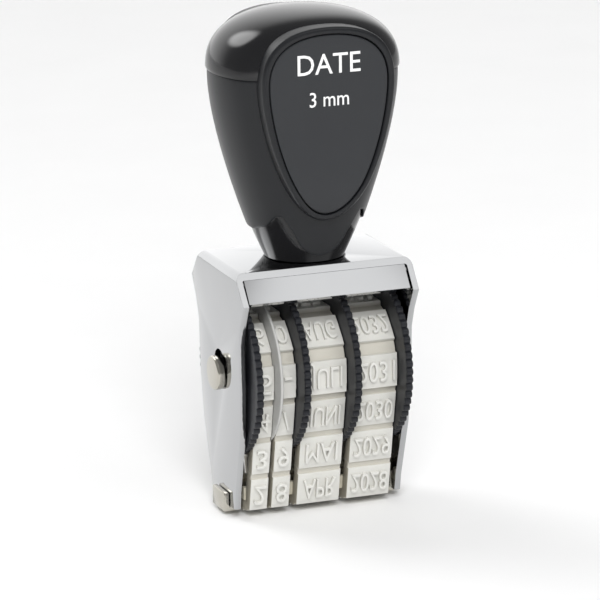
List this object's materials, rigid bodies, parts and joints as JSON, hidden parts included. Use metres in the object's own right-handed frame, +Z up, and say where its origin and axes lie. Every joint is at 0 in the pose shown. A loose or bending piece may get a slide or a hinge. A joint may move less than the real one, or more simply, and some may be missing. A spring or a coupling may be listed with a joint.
{
  "type": "rotary date stamp",
  "caption": "Self-standing date stamp: thumb wheels turn rubber date bands on an axle in a bent chromed frame under a black moulded grip.",
  "frame": {"origin": "middle of the printing face, on the surface that the stamp stands on", "axes": "+X along the axle to the right as seen from the front, +Y to the back, +Z up through the grip"},
  "size_m": [0.0292, 0.0248, 0.0746],
  "materials": {
    "chromed_sheet": "mirror-bright chrome plating on bent steel sheet",
    "gloss_black": "high-gloss moulded plastic",
    "satin_black": "fine satin moulded plastic",
    "label_black": "matt moulded plastic with a fine grain",
    "zinc_steel": "bright zinc-plated steel",
    "nickel_steel": "warm polished nickel plating",
    "spring_steel": "dark spring steel",
    "wheel_black": "semi-gloss moulded plastic",
    "disc_grey": "smooth grey plastic sheet",
    "band_rubber": "pale grey moulded rubber, slightly satin",
    "cream_plastic": "cream moulded plastic"
  },
  "bodies": {
    "stamp_body": {"frame": "chromed_sheet", "handle_core": "gloss_black", "handle_shell": "satin_black", "handle_cap": "gloss_black", "front_rim": "satin_black", "front_label": "label_black", "rear_rim": "satin_black", "rear_label": "label_black", "handle_screw": "zinc_steel", "handle_washer": "zinc_steel", "day_tens_band": "band_rubber", "day_units_band": "band_rubber", "month_band": "band_rubber", "year_band": "band_rubber", "platen_pad": "cream_plastic", "platen_strap": "nickel_steel"},
    "axle_pin": {"axle": "nickel_steel", "axle_clip": "spring_steel"},
    "day_tens_drive": {"day_tens_wheel": "wheel_black"},
    "day_units_drive": {"day_units_wheel": "wheel_black"},
    "month_drive": {"month_wheel": "wheel_black"},
    "year_drive": {"year_wheel": "wheel_black"},
    "loose_disc": {"separator_disc": "disc_grey"}
  },
  "joints": [
    {"name": "axle_spin", "type": "hinge", "parent": "stamp_body", "child": "axle_pin", "pos_m": [0, 0, 0.0213], "axis": [1, 0, 0], "continuous": true},
    {"name": "day_tens_spin", "type": "hinge", "parent": "stamp_body", "child": "day_tens_drive", "pos_m": [0, 0, 0.0213], "axis": [1, 0, 0], "continuous": true},
    {"name": "day_units_spin", "type": "hinge", "parent": "stamp_body", "child": "day_units_drive", "pos_m": [0, 0, 0.0213], "axis": [1, 0, 0], "continuous": true},
    {"name": "month_spin", "type": "hinge", "parent": "stamp_body", "child": "month_drive", "pos_m": [0, 0, 0.0213], "axis": [1, 0, 0], "continuous": true},
    {"name": "year_spin", "type": "hinge", "parent": "stamp_body", "child": "year_drive", "pos_m": [0, 0, 0.0213], "axis": [1, 0, 0], "continuous": true},
    {"name": "disc_spin", "type": "hinge", "parent": "stamp_body", "child": "loose_disc", "pos_m": [0, 0, 0.0213], "axis": [1, 0, 0], "continuous": true}
  ]
}
